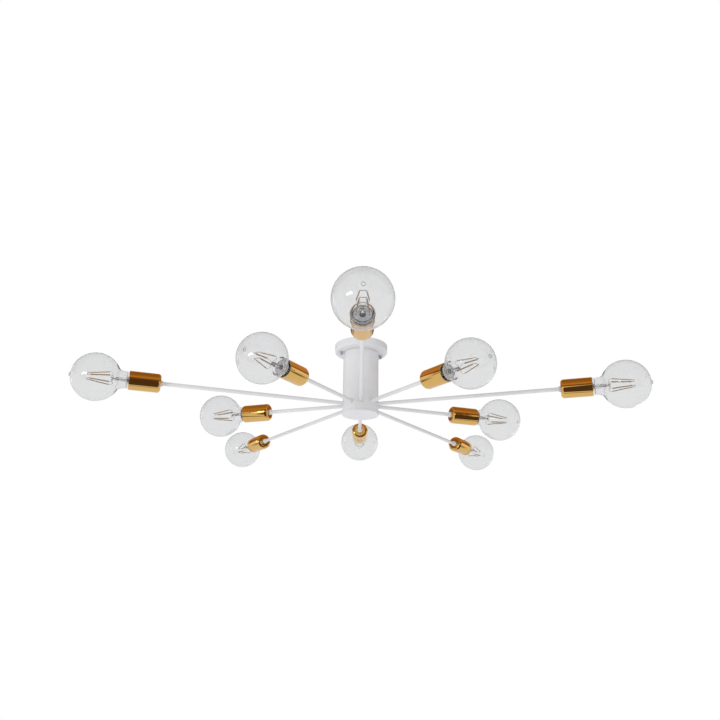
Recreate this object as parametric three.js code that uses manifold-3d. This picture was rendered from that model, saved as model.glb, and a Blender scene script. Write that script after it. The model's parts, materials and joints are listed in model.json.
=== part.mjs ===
// A semi-flush ceiling light with ten straight arms, in millimetres, +Z up.
// The origin is on the ceiling, at the middle of the mounting strap, and everything hangs below it.
// An azimuth is measured from -Y, the front, towards +X.
import * as THREE from "three";
import { mergeVertices } from "three/addons/utils/BufferGeometryUtils.js";
import Module from "manifold-3d";

const wasm = await Module();
wasm.setup();

// ---- Driving dimensions ----
const GAP = 0.3; // between pieces that touch

const ARM_COUNT = 10;
const ARM_PLANE_Z = -137; // the arms' common axis plane
const LONG_ARM_REACH = 545; // column axis to lamp centre
const SHORT_ARM_REACH = 338;
const SKEWED_ARM = 9; // this short arm sits a little forward of the regular spacing
const SKEW_DEG = 4;

const CANOPY_RADIUS = 58;
const CANOPY_DEPTH = 18;
const CANOPY_EDGE_RADIUS = 4;
const SHEET = 1.2; // sheet thickness of canopy, column and cups

const COLUMN_RADIUS = 39;
const COLUMN_BOTTOM_Z = -160;
const BOTTOM_CAP_RADIUS = 40;
const BOTTOM_CAP_LIP = 4;
const BOTTOM_CAP_SKIRT = 10;

const STRAP = { length: 104, width: 24, thickness: 2, azimuth: 105 };
const STUD_CIRCLE_RADIUS = 45;
const STUD_RADIUS = 2;
const STUD_LENGTH = 21;
const CAP_NUT = { flats: 7, hexHeight: 3.2, height: 8 };

const NIPPLE = { radius: 5, bore: 3.6, flats: 17, head: 4, below: 10 };
const CENTRE_HOLE_RADIUS = 6.2; // through canopy and column top, for the nipple

const HUB = { outer: 37, inner: 28, height: 16 };
const ROD = { radius: 4, bore: 3, start: 29, shoulderRadius: 5, shoulderLength: 4.5 };
const ROD_HOLE_RADIUS = 4.5;

// Places along an arm, measured from the lamp's centre, negative towards the column.
const CUP = { radius: 19, rim: -62, back: -123, edge: 6 };
const HOLDER = { radius: 17, front: -68.2, back: -113, bore: 13.9, boreEnd: -95 };
const LAMP_CAP = { radius: 13.1, top: -68.3, shoulder: -86, tip: -92.5, contact: 4.5 };
const GLOBE = { radius: 47.5, wall: 0.8, neckRadius: 17.6, neckEnd: 12.4 };

const TERMINAL_BLOCK = { width: 36, depth: 14, height: 11, y: -31, z: -8.5, poles: 3 };
const CABLE = { radius: 2.8, z: -7, elbow: 4, fanZ: -92 };
const LEAD = { radius: 1.5, bendReach: 16 };

// ---- Materials ----
const finish = (color, roughness, metalness, extra = {}) =>
  new THREE.MeshStandardMaterial({ color, roughness, metalness, ...extra });

const MATERIALS = {
  white: finish(0xe9eaec, 0.42, 0),
  gold: finish(0xd49a3c, 0.16, 1),
  black: finish(0x1d1d1f, 0.5, 0),
  nickel: finish(0xb9bcc0, 0.25, 1),
  chrome: finish(0x8d9096, 0.15, 1),
  zinc: finish(0xa9acae, 0.45, 1),
  glass: finish(0xf2f4f5, 0.03, 0, { transparent: true, opacity: 0.35 }),
  terminal: finish(0xdcdcd6, 0.55, 0),
  wire: finish(0xf3f3f1, 0.6, 0),
};

// ---- Solids ----
const point = (x, y) => new THREE.Vector2(x, y);
const degrees = THREE.MathUtils.degToRad;

// Points on an arc about (x, y), both ends included.
function arc(x, y, radius, from, to, steps) {
  return Array.from({ length: steps + 1 }, (_, i) => {
    const angle = degrees(from + ((to - from) * i) / steps);
    return point(x + radius * Math.cos(angle), y + radius * Math.sin(angle));
  });
}

// A profile turned about Y, in whichever order faces it out. It is closed on itself unless it
// starts and ends on the axis.
function turned(profile, segments) {
  const onAxis = profile[0].x === 0 && profile[profile.length - 1].x === 0;
  const outline = onAxis ? [...profile] : [...profile, profile[0]];
  if (THREE.ShapeUtils.isClockWise(outline)) outline.reverse();
  return new THREE.LatheGeometry(outline, segments);
}

// The same about Z: a profile point's second number is its height.
const turnedUpright = (profile, segments) => turned(profile, segments).rotateX(Math.PI / 2);

function solid(geometry) {
  const bare = geometry.clone();
  bare.deleteAttribute("normal");
  bare.deleteAttribute("uv");
  const merged = mergeVertices(bare, 1e-4);
  return new wasm.Manifold(
    new wasm.Mesh({
      numProp: 3,
      vertProperties: new Float32Array(merged.attributes.position.array),
      triVerts: new Uint32Array(merged.index.array),
    }),
  );
}

function geometryOf(manifold) {
  const mesh = manifold.getMesh();
  return new THREE.BufferGeometry()
    .setAttribute("position", new THREE.BufferAttribute(mesh.vertProperties, 3))
    .setIndex(new THREE.BufferAttribute(mesh.triVerts, 1));
}

const join = (...pieces) => geometryOf(pieces.map(solid).reduce((a, b) => a.add(b)));

const cut = (body, ...tools) =>
  geometryOf(tools.map(solid).reduce((left, tool) => left.subtract(tool), solid(body)));

// A round bar from one point to another.
function bar(from, to, radius, sides) {
  const along = new THREE.Vector3().subVectors(to, from);
  const turn = new THREE.Quaternion().setFromUnitVectors(
    new THREE.Vector3(0, 1, 0),
    along.clone().normalize(),
  );
  const middle = from.clone().addScaledVector(along, 0.5);
  return new THREE.CylinderGeometry(radius, radius, along.length(), sides)
    .applyQuaternion(turn)
    .translate(middle.x, middle.y, middle.z);
}

const uprightBar = (x, y, top, bottom, radius, sides) =>
  bar(new THREE.Vector3(x, y, bottom), new THREE.Vector3(x, y, top), radius, sides);

function hexPrism(flats, top, bottom) {
  const prism = new THREE.CylinderGeometry(1, 1, top - bottom, 6).rotateX(Math.PI / 2);
  const corner = flats / Math.sqrt(3);
  return prism.scale(corner, corner, 1).translate(0, 0, (top + bottom) / 2);
}

// ---- Arms ----
const arms = Array.from({ length: ARM_COUNT }, (_, i) => ({
  label: String(i + 1).padStart(2, "0"),
  azimuth: (360 / ARM_COUNT) * i + (i === SKEWED_ARM ? SKEW_DEG : 0),
  reach: i % 2 === 0 ? LONG_ARM_REACH : SHORT_ARM_REACH,
}));

function outward(azimuth, radius, z) {
  const angle = degrees(azimuth);
  return new THREE.Vector3(radius * Math.sin(angle), -radius * Math.cos(angle), z);
}

const rodEnd = (arm) => arm.reach + HOLDER.back - GAP;

function rod(arm) {
  const shoulderEnd = arm.reach + CUP.back - GAP;
  const shoulderStart = shoulderEnd - ROD.shoulderLength;
  return turned(
    [
      point(ROD.bore, ROD.start),
      point(ROD.radius, ROD.start),
      point(ROD.radius, shoulderStart),
      point(ROD.shoulderRadius, shoulderStart),
      point(ROD.shoulderRadius, shoulderEnd),
      point(ROD.radius, shoulderEnd),
      point(ROD.radius, rodEnd(arm)),
      point(ROD.bore, rodEnd(arm)),
    ],
    8,
  );
}

function cup() {
  const { radius, rim, back, edge } = CUP;
  const inner = edge - SHEET;
  return turned(
    [
      point(ROD_HOLE_RADIUS, back),
      ...arc(radius - edge, back + edge, edge, -90, 0, 2),
      point(radius, rim),
      point(radius - SHEET, rim),
      ...arc(radius - edge, back + edge, inner, 0, -90, 1),
      point(ROD_HOLE_RADIUS, back + SHEET),
    ],
    16,
  );
}

function holder() {
  const { radius, front, back, bore, boreEnd } = HOLDER;
  return turned(
    [
      point(0, back),
      point(radius - 6, back),
      point(radius, back + 8),
      point(radius, front),
      point(bore, front),
      point(bore, boreEnd),
      point(0, boreEnd),
    ],
    12,
  );
}

function lampCap() {
  const { radius, top, shoulder, tip, contact } = LAMP_CAP;
  return turned(
    [
      point(0, tip),
      point(contact, tip),
      point(contact, tip + 1.5),
      point(radius - 1, shoulder),
      point(radius, shoulder + 2),
      point(radius, top),
      point(0, top),
    ],
    12,
  );
}

// The lamp's outline from its neck end to its crown, drawn in by an inset.
function globeOutline(inset) {
  const { radius, neckRadius, neckEnd } = GLOBE;
  return [
    point(neckEnd - inset, HOLDER.front + 0.2),
    point(neckRadius - 1.3 - inset, CUP.rim - 1),
    point(neckRadius - inset, CUP.rim + 12),
    point(neckRadius + 1.6 - inset, CUP.rim + 17),
    ...arc(0, 0, radius - inset, -60, 90, 5),
  ];
}

function globe() {
  const outside = globeOutline(0);
  const inside = globeOutline(GLOBE.wall).reverse();
  outside[outside.length - 1].x = 0;
  inside[0].x = 0;
  return turned([...outside, ...inside], 12);
}

// ---- Column and canopy ----
const rodHoles = (radius) =>
  arms.map(({ azimuth }) =>
    bar(outward(azimuth, HUB.inner - 8, ARM_PLANE_Z), outward(azimuth, radius, ARM_PLANE_Z),
      ROD_HOLE_RADIUS, 8),
  );

function column() {
  const top = -CANOPY_DEPTH - GAP;
  const bottom = COLUMN_BOTTOM_Z + BOTTOM_CAP_LIP + GAP;
  const tube = turnedUpright(
    [
      point(CENTRE_HOLE_RADIUS, top),
      point(CENTRE_HOLE_RADIUS, top - SHEET),
      point(COLUMN_RADIUS - SHEET, top - SHEET),
      point(COLUMN_RADIUS - SHEET, bottom),
      point(COLUMN_RADIUS, bottom),
      point(COLUMN_RADIUS, top),
    ],
    30,
  );
  return cut(tube, ...rodHoles(COLUMN_RADIUS + 3));
}

function armHub() {
  const top = ARM_PLANE_Z + HUB.height / 2;
  const bottom = ARM_PLANE_Z - HUB.height / 2;
  const ring = turnedUpright(
    [point(HUB.inner, top), point(HUB.inner, bottom), point(HUB.outer, bottom), point(HUB.outer, top)],
    30,
  );
  return cut(ring, ...rodHoles(HUB.outer + 3));
}

function bottomCap() {
  const lipTop = COLUMN_BOTTOM_Z + BOTTOM_CAP_LIP;
  const skirt = COLUMN_RADIUS - SHEET - 2 * GAP;
  return turnedUpright(
    [
      point(0, lipTop),
      point(skirt - SHEET, lipTop),
      point(skirt - SHEET, lipTop + BOTTOM_CAP_SKIRT),
      point(skirt, lipTop + BOTTOM_CAP_SKIRT),
      point(skirt, lipTop),
      point(BOTTOM_CAP_RADIUS, lipTop),
      point(BOTTOM_CAP_RADIUS, COLUMN_BOTTOM_Z + 1),
      point(BOTTOM_CAP_RADIUS - 1, COLUMN_BOTTOM_Z),
      point(0, COLUMN_BOTTOM_Z),
    ],
    30,
  );
}

const studPlaces = [STRAP.azimuth, STRAP.azimuth + 180].map((azimuth) =>
  outward(azimuth, STUD_CIRCLE_RADIUS, 0),
);

function canopy() {
  const { x, y } = point(CANOPY_RADIUS - CANOPY_EDGE_RADIUS, -CANOPY_DEPTH + CANOPY_EDGE_RADIUS);
  const shell = turnedUpright(
    [
      point(CENTRE_HOLE_RADIUS, -CANOPY_DEPTH),
      ...arc(x, y, CANOPY_EDGE_RADIUS, -90, 0, 2),
      point(CANOPY_RADIUS, 0),
      point(CANOPY_RADIUS - SHEET, 0),
      ...arc(x, y, CANOPY_EDGE_RADIUS - SHEET, 0, -90, 1),
      point(CENTRE_HOLE_RADIUS, -CANOPY_DEPTH + SHEET),
    ],
    36,
  );
  const holes = studPlaces.map((p) => uprightBar(p.x, p.y, 0, -CANOPY_DEPTH - 2, STUD_RADIUS + 0.5, 12));
  return cut(shell, ...holes);
}

// The flat strap that the ceiling screws hold, with its two clinched studs.
function strap() {
  const { length, width, thickness, azimuth } = STRAP;
  const slot = (place) =>
    new THREE.BoxGeometry(14, 4.5, 3 * thickness).translate(place, 0, -thickness / 2);
  const plate = new THREE.BoxGeometry(length, width, thickness).translate(0, 0, -thickness / 2);
  const drilled = cut(plate, slot(-24), slot(24));
  drilled.rotateZ(degrees(azimuth - 90));
  const studs = studPlaces.map((p) =>
    uprightBar(p.x, p.y, -thickness / 2, -thickness - STUD_LENGTH, STUD_RADIUS, 12),
  );
  return join(drilled, ...studs);
}

function capNut() {
  const { flats, hexHeight, height } = CAP_NUT;
  const top = -CANOPY_DEPTH - GAP;
  const domeRadius = flats / 2 - 0.2;
  const domeBase = top - height + domeRadius;
  const dome = turnedUpright(
    [point(0, top - 1), point(domeRadius, top - 1), point(domeRadius, domeBase),
      ...arc(0, domeBase, domeRadius, 0, -90, 4).slice(1, -1), point(0, top - height)],
    12,
  );
  const body = join(hexPrism(flats, top, top - hexHeight), dome);
  return cut(body, uprightBar(0, 0, top + 1, top - height + 2, STUD_RADIUS + 0.4, 12));
}

function columnNipple() {
  const seat = -CANOPY_DEPTH + SHEET + GAP;
  const head = seat + NIPPLE.head;
  const body = join(
    hexPrism(NIPPLE.flats, head, seat),
    uprightBar(0, 0, seat + 1, -CANOPY_DEPTH - NIPPLE.below, NIPPLE.radius, 16),
  );
  return cut(body, uprightBar(0, 0, head + 1, -CANOPY_DEPTH - NIPPLE.below - 1, NIPPLE.bore, 12));
}

function terminalBlock() {
  const { width, depth, height, y, z, poles } = TERMINAL_BLOCK;
  const pitch = width / poles;
  const notches = Array.from({ length: poles - 1 }, (_, i) =>
    new THREE.BoxGeometry(1.6, depth + 2, height).translate((i + 1) * pitch - width / 2, y, z + 3),
  );
  const screws = Array.from({ length: poles }, (_, i) =>
    uprightBar((i + 0.5) * pitch - width / 2, y, z + height, z + 1, 2, 8),
  );
  return cut(new THREE.BoxGeometry(width, depth, height).translate(0, y, z), ...notches, ...screws);
}

// The cable from the terminal block down the column, fanned out into a lead for each arm.
function wiring() {
  const at = (y, z) => new THREE.Vector3(0, y, z);
  const blockFace = TERMINAL_BLOCK.y + TERMINAL_BLOCK.depth / 2 + GAP;
  const trunk = [
    bar(at(blockFace, CABLE.z), at(-CABLE.elbow, CABLE.z), CABLE.radius, 8),
    bar(at(-CABLE.elbow - 1, CABLE.z), at(0, CABLE.z - CABLE.elbow - 1), CABLE.radius, 8),
    bar(at(0, CABLE.z - CABLE.elbow), at(0, CABLE.fanZ), CABLE.radius, 8),
  ];
  const leads = arms.flatMap((arm) => {
    const bend = outward(arm.azimuth, LEAD.bendReach, ARM_PLANE_Z);
    return [
      bar(at(0, CABLE.fanZ + 3), bend, LEAD.radius, 6),
      bar(outward(arm.azimuth, LEAD.bendReach - 1, ARM_PLANE_Z),
        outward(arm.azimuth, rodEnd(arm), ARM_PLANE_Z), LEAD.radius, 6),
    ];
  });
  return join(...trunk, ...leads);
}

// ---- Assembly ----
function mesh(name, geometry, material) {
  const made = new THREE.Mesh(geometry, MATERIALS[material]);
  made.name = name;
  return made;
}

// One arm, with +Y outward along it and its lamp pieces placed at the arm's reach.
function armGroup(arm) {
  const lamp = new THREE.Group();
  lamp.position.y = arm.reach;
  lamp.add(
    mesh(`socket_cup_${arm.label}`, cup(), "gold"),
    mesh(`lampholder_${arm.label}`, holder(), "black"),
    mesh(`lamp_cap_${arm.label}`, lampCap(), "nickel"),
    mesh(`lamp_globe_${arm.label}`, globe(), "glass"),
  );
  const group = new THREE.Group();
  group.position.z = ARM_PLANE_Z;
  group.rotation.z = degrees(arm.azimuth + 180);
  group.add(mesh(`arm_rod_${arm.label}`, rod(arm), "white"), lamp);
  return group;
}

function capNutMesh(name, place) {
  const nut = mesh(name, capNut(), "chrome");
  nut.position.set(place.x, place.y, 0);
  return nut;
}

const chandelier = new THREE.Group();
chandelier.add(
  mesh("ceiling_strap", strap(), "zinc"),
  mesh("canopy", canopy(), "white"),
  capNutMesh("canopy_nut_right", studPlaces[0]),
  capNutMesh("canopy_nut_left", studPlaces[1]),
  mesh("column_nipple", columnNipple(), "zinc"),
  mesh("column", column(), "white"),
  mesh("arm_hub", armHub(), "zinc"),
  mesh("bottom_cap", bottomCap(), "white"),
  mesh("terminal_block", terminalBlock(), "terminal"),
  mesh("wiring_harness", wiring(), "wire"),
  ...arms.map(armGroup),
);

export default chandelier;
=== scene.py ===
import json
import math

import bmesh
import bpy
from mathutils import Matrix, Vector


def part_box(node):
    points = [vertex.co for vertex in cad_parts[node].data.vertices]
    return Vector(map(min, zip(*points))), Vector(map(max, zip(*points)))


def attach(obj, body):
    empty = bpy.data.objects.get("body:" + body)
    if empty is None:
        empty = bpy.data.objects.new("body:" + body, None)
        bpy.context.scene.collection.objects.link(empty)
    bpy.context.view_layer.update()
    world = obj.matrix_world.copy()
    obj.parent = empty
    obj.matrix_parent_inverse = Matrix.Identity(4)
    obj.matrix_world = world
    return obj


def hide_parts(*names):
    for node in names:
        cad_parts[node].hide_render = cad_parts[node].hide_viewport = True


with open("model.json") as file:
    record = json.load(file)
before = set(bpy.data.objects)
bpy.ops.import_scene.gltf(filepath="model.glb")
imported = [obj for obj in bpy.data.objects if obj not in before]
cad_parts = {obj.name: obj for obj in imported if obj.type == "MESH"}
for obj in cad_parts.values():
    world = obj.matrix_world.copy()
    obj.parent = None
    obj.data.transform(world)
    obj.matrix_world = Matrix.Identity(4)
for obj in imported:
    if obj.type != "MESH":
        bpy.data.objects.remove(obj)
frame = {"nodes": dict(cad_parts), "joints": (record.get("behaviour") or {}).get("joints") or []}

MM = 0.001
FULL_TURN = 2 * math.pi
X, Z = 0, 2
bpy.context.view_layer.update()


# ---- What the frame says ----
def half_size(node, axis):
    """Half of a CAD node's size along an axis, in millimetres: the radius of a round one."""
    low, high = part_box(node)
    return (high[axis] - low[axis]) / 2 / MM


def level_of(node):
    """Lowest and highest place of a CAD node, in millimetres."""
    low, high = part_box(node)
    return low.z / MM, high.z / MM


def span_of(node, arm):
    """Where a CAD node starts and ends along an arm, measured from the lamp's centre, in millimetres."""
    corners = [vertex.co - arm["centre"] for vertex in frame["nodes"][node].data.vertices]
    places = [corner.dot(arm["outward"]) / MM for corner in corners]
    return min(places), max(places)


def read_arms():
    """Each arm's label, lamp centre, outward direction, reach and local frame, with Y outward and Z up."""
    arms = []
    for joint in frame["joints"]:
        if joint["type"] != "hinge":
            continue
        label = joint["name"].split("_")[1]
        centre = Vector(joint["pos_m"])
        outward = Vector(joint["axis"]).normalized()
        up = Vector((0, 0, 1))
        turn = Matrix((outward.cross(up), outward, up)).transposed().to_4x4()
        place = Matrix.Translation(centre) @ turn
        reach = centre.xy.length / MM
        arms.append({"label": label, "centre": centre, "outward": outward, "reach": reach, "place": place})
    return arms


ARMS = read_arms()
FIRST = ARMS[0]
ARM_PLANE = FIRST["centre"].z / MM
UPRIGHT = Matrix.Rotation(math.pi / 2, 4, "X")


def new_object(name, data):
    """An object in the scene."""
    made = bpy.data.objects.new(name, data)
    bpy.context.scene.collection.objects.link(made)
    return made


def new_mesh(name, shape):
    """A shape as mesh data."""
    data = bpy.data.meshes.new(name)
    shape.to_mesh(data)
    shape.free()
    return data


# ---- Camera, floor and light ----
CAMERA_PLACE = (-0.0050, -1.5140, -0.5895)
CAMERA_HEADING = math.radians(0.105)
CAMERA_TILT = math.radians(20.193)
CAMERA_ROLL = math.radians(0.748)
CAMERA_LENS = 36.27
FLOOR_LEVEL = -2.4  # an ordinary room's height below the ceiling
FLOOR_RADIUS = 10.0
FLOOR_GLOW = 0.32


def make_camera():
    data = bpy.data.cameras.new("camera")
    data.sensor_width = 36
    data.lens = CAMERA_LENS
    data.clip_start = 0.01
    camera = new_object("camera", data)
    turn = (
        Matrix.Rotation(-CAMERA_HEADING, 4, "Z")
        @ Matrix.Rotation(math.pi / 2 + CAMERA_TILT, 4, "X")
        @ Matrix.Rotation(CAMERA_ROLL, 4, "Z")
    )
    camera.matrix_world = Matrix.Translation(CAMERA_PLACE) @ turn
    bpy.context.scene.camera = camera


def make_floor(material):
    shape = bmesh.new()
    bmesh.ops.create_circle(shape, cap_ends=True, segments=96, radius=FLOOR_RADIUS)
    floor = new_object("studio_floor", new_mesh("studio_floor", shape))
    floor.data.materials.append(material)
    floor.location.z = FLOOR_LEVEL
    floor.visible_glossy = False


def make_light(name, place, width, height, power):
    """A soft rectangular lamp that faces the column."""
    data = bpy.data.lights.new(name, "AREA")
    data.shape = "RECTANGLE"
    data.size = width
    data.size_y = height
    data.energy = power
    lamp = new_object(name, data)
    lamp.location = place
    lamp.rotation_mode = "QUATERNION"
    target = Vector((0, 0, ARM_PLANE * MM))
    lamp.rotation_quaternion = (target - lamp.location).to_track_quat("-Z", "Y")
    lamp.visible_camera = False
    lamp.visible_transmission = False


BACKDROP = (1.0, 1.0, 1.0)  # what shows behind the object and through its glass

# Light on matt surfaces: (place, colour) from the studio's bright side to its dark side.
FILL_LEAN = (0.50, 0.10, 0.86)  # towards the dark side
FILL_BANDS = [
    (0.00, (0.94, 0.945, 0.965)),
    (0.30, (0.91, 0.915, 0.935)),
    (0.60, (0.77, 0.775, 0.79)),
    (1.00, (0.45, 0.445, 0.465)),
]

# The studio as mirrored in polished metal, from straight down to straight up.
MIRROR_BANDS = [
    (0.00, (0.82, 0.84, 1.00)),
    (0.575, (0.80, 0.82, 0.98)),
    (0.592, (0.20, 0.13, 0.06)),
    (0.63, (0.31, 0.14, 0.045)),
    (0.71, (0.27, 0.115, 0.03)),
    (0.75, (0.60, 0.30, 0.14)),
    (0.81, (0.58, 0.30, 0.13)),
    (0.86, (0.44, 0.25, 0.07)),
    (1.00, (0.29, 0.145, 0.045)),
]

# The studio as mirrored in clear glass.
GLINT_BANDS = [
    (0.00, (0.80, 0.80, 0.81)),
    (0.55, (0.70, 0.70, 0.71)),
    (0.72, (0.22, 0.21, 0.22)),
    (1.00, (0.30, 0.30, 0.31)),
]

# Soft round patches of the studio beside the object, as mirrored in polished metal: the way to
# each, its radius in degrees, and its colour.
PATCHES = [
    ((0.93, 0.30, -0.23), 5, (0.14, 0.10, 0.05)),
    ((-0.93, 0.30, -0.23), 5, (0.14, 0.10, 0.05)),
    ((0.94, 0.31, 0.14), 9, (0.92, 0.95, 1.15)),
    ((-0.94, 0.31, 0.14), 9, (0.92, 0.95, 1.15)),
    ((-0.70, -0.70, 0.16), 10, (0.50, 0.36, 0.22)),
]
PATCH_EDGE = 3  # how many degrees a patch fades over

# The dark space round the viewer, wide and low, with a thin dark rim round it.
VIEWER_SIDE = (0.271, -0.851, -0.450)
VIEWER_WIDTH = 0.6  # under 1, the space is wider than tall
VIEWER_SHADE = (0.085, 0.055, 0.04)
VIEWER_BANDS = [
    (0.775, (0.0, 0.0, 0.0)),
    (0.790, (0.9, 0.9, 0.9)),
    (0.812, (0.9, 0.9, 0.9)),
    (0.825, (0.0, 0.0, 0.0)),
    (0.865, (0.0, 0.0, 0.0)),
    (0.885, (1.0, 1.0, 1.0)),
]


def add_node(tree, kind, inputs, **settings):
    """A shader node. Each of its inputs is a plain value or another node's output."""
    node = tree.nodes.new(f"ShaderNode{kind}")
    for name, value in settings.items():
        setattr(node, name, value)
    for name, value in inputs.items():
        if isinstance(value, bpy.types.NodeSocket):
            tree.links.new(value, node.inputs[name])
        else:
            node.inputs[name].default_value = value
    return node


def make_ramp(tree, factor, bands):
    """A colour ramp through the bands."""
    ramp = add_node(tree, "ValToRGB", {"Fac": factor})
    stops = ramp.color_ramp.elements
    while len(stops) < len(bands):
        stops.new(0.5)
    for stop, (position, colour) in zip(stops, bands, strict=True):
        stop.position = position
        stop.color = (*colour, 1)
    return ramp.outputs["Color"]


def make_level(tree, direction, axis):
    """How far a direction points along an axis, from 0 for straight against it to 1."""
    dot = add_node(tree, "VectorMath", {0: direction, 1: axis}, operation="DOT_PRODUCT")
    return add_node(tree, "MapRange", {"Value": dot.outputs["Value"], "From Min": -1}).outputs["Result"]


def make_mix(tree, factor, first, second):
    """A blend of two colours, each either a socket or plain numbers."""
    sides = [(*colour, 1) if isinstance(colour, tuple) else colour for colour in (first, second)]
    mix = add_node(tree, "Mix", {"Factor": factor, "A": sides[0], "B": sides[1]}, data_type="RGBA")
    return mix.outputs["Result"]


def make_world():
    """A white backdrop, a leaning fill for matt surfaces, and banded studios for metal and glass."""
    world = bpy.data.worlds.new("studio")
    world.use_nodes = True
    world.cycles.sampling_method = "NONE"
    bpy.context.scene.world = world
    tree = world.node_tree
    direction = tree.nodes.new("ShaderNodeTexCoord").outputs["Generated"]
    fill = make_ramp(tree, make_level(tree, direction, FILL_LEAN), FILL_BANDS)
    up = make_level(tree, direction, (0, 0, 1))
    metal = make_ramp(tree, up, MIRROR_BANDS)
    glass = make_ramp(tree, up, GLINT_BANDS)

    for side, radius, shade in PATCHES:
        outer, inner = [(1 + math.cos(math.radians(radius + soft))) / 2 for soft in (PATCH_EDGE, 0)]
        level = make_level(tree, direction, Vector(side).normalized())
        near = make_ramp(tree, level, [(outer, (0, 0, 0)), (inner, (1, 1, 1))])
        metal = make_mix(tree, near, metal, shade)
    narrowed = add_node(tree, "VectorMath", {0: direction, 1: (VIEWER_WIDTH, 1, 1)}, operation="MULTIPLY")
    unit = add_node(tree, "VectorMath", {0: narrowed.outputs[0]}, operation="NORMALIZE")
    near = make_ramp(tree, make_level(tree, unit.outputs[0], VIEWER_SIDE), VIEWER_BANDS)
    metal = make_mix(tree, near, metal, VIEWER_SHADE)

    ray = tree.nodes.new("ShaderNodeLightPath").outputs
    straight = {0: ray["Is Camera Ray"], 1: ray["Is Transmission Ray"]}
    direct = add_node(tree, "Math", straight, operation="MAXIMUM").outputs[0]
    mirrored = make_mix(tree, ray["Is Singular Ray"], metal, glass)
    lit = make_mix(tree, ray["Is Glossy Ray"], fill, mirrored)
    tree.links.new(make_mix(tree, direct, lit, BACKDROP), tree.nodes["Background"].inputs["Color"])


# ---- Materials ----
def shader_of(material):
    return material.node_tree.nodes["Principled BSDF"]


def new_material(name, **values):
    """A material whose Principled shader has plain values, named with _ for a space."""
    material = bpy.data.materials.new(name)
    material.use_nodes = True
    for socket, value in values.items():
        shader_of(material).inputs[socket.replace("_", " ")].default_value = value
    return material


NOISE_SPAN = (0.3, 0.7)  # nearly all of a noise lies between these


def noise(material, per_metre, stretch=(1, 1, 1), detail=2):
    """The value of a noise in the piece's own frame, with so many waves to a metre."""
    tree = material.node_tree
    place = add_node(tree, "Attribute", {}, attribute_name="own_place").outputs["Vector"]
    mapped = add_node(tree, "Mapping", {"Vector": place, "Scale": stretch}).outputs["Vector"]
    scale = {"Scale": per_metre, "Detail": detail}
    return add_node(tree, "TexNoise", {"Vector": mapped, **scale}).outputs["Fac"]


def vary_roughness(material, low, high, per_metre, **noise_settings):
    """Lets a noise move the roughness between two numbers."""
    tree = material.node_tree
    pattern = noise(material, per_metre, **noise_settings)
    limits = {"From Min": NOISE_SPAN[0], "From Max": NOISE_SPAN[1], "To Min": low, "To Max": high}
    scaled = add_node(tree, "MapRange", {"Value": pattern, **limits})
    tree.links.new(scaled.outputs["Result"], shader_of(material).inputs["Roughness"])


def vary_colour(material, pattern, first, second):
    """Lets a pattern blend the base colour between two colours."""
    tree = material.node_tree
    ramp = make_ramp(tree, pattern, list(zip(NOISE_SPAN, (first, second))))
    tree.links.new(ramp, shader_of(material).inputs["Base Color"])


def add_bump(material, height, strength, per_metre, **noise_settings):
    """Raises the surface by a noise, up to a height in millimetres."""
    tree = material.node_tree
    pattern = noise(material, per_metre, **noise_settings)
    bump = add_node(tree, "Bump", {"Height": pattern, "Strength": strength, "Distance": height * MM})
    tree.links.new(bump.outputs["Normal"], shader_of(material).inputs["Normal"])


def white_paint():
    """Satin powder coat with a fine orange peel."""
    made = new_material("white_paint", Roughness=0.4, IOR=1.5)
    vary_colour(made, noise(made, 35), (0.80, 0.80, 0.805), (0.83, 0.83, 0.835))
    vary_roughness(made, 0.34, 0.46, 260)
    add_bump(made, 0.02, 0.35, 900, detail=1)
    return made


def gold():
    """Polished gold plating with faint turning lines round the cup and a little haze."""
    made = new_material("gold", Metallic=1.0, Roughness=0.12)
    vary_colour(made, noise(made, 30), (0.78, 0.475, 0.125), (0.82, 0.51, 0.145))
    vary_roughness(made, 0.04, 0.09, 120, detail=4)
    add_bump(made, 0.004, 0.25, 400, stretch=(0.02, 8, 0.02), detail=1)
    return made


def black_plastic():
    """Moulded black phenolic."""
    made = new_material("black_plastic", Roughness=0.42)
    vary_colour(made, noise(made, 90), (0.012, 0.012, 0.013), (0.022, 0.021, 0.021))
    vary_roughness(made, 0.34, 0.5, 500)
    add_bump(made, 0.02, 0.4, 1400)
    return made


def nickel():
    """Drawn nickel sheet with fine lines round its axis."""
    made = new_material("nickel", Metallic=0.6, Roughness=0.25)
    vary_colour(made, noise(made, 60), (0.60, 0.60, 0.61), (0.69, 0.68, 0.67))
    vary_roughness(made, 0.2, 0.34, 300, stretch=(0.1, 4, 0.1))
    add_bump(made, 0.006, 0.4, 900, stretch=(0.03, 4, 0.03))
    return made


def chrome():
    """Dark polished chrome."""
    made = new_material("chrome", Metallic=0.7, Roughness=0.3)
    vary_colour(made, noise(made, 120), (0.50, 0.505, 0.52), (0.60, 0.60, 0.61))
    vary_roughness(made, 0.22, 0.36, 500, detail=4)
    return made


def zinc_steel():
    """Zinc plated pressed steel with a faint spangle."""
    made = new_material("zinc_steel", Metallic=0.35, Roughness=0.4)
    vary_colour(made, noise(made, 220, detail=3), (0.46, 0.47, 0.49), (0.58, 0.58, 0.58))
    vary_roughness(made, 0.3, 0.5, 160, detail=3)
    add_bump(made, 0.01, 0.5, 1200)
    return made


def brass():
    """Bare brass strip for contacts and screws."""
    made = new_material("brass", Metallic=1.0, Roughness=0.3)
    vary_colour(made, noise(made, 200, detail=3), (0.62, 0.44, 0.17), (0.72, 0.53, 0.24))
    vary_roughness(made, 0.24, 0.4, 400)
    return made


def wire_metal():
    """Grey lead wire with a warm oxide."""
    made = new_material("wire_metal", Metallic=1.0, Roughness=0.35)
    vary_colour(made, noise(made, 500), (0.22, 0.17, 0.15), (0.32, 0.26, 0.24))
    return made


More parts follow.
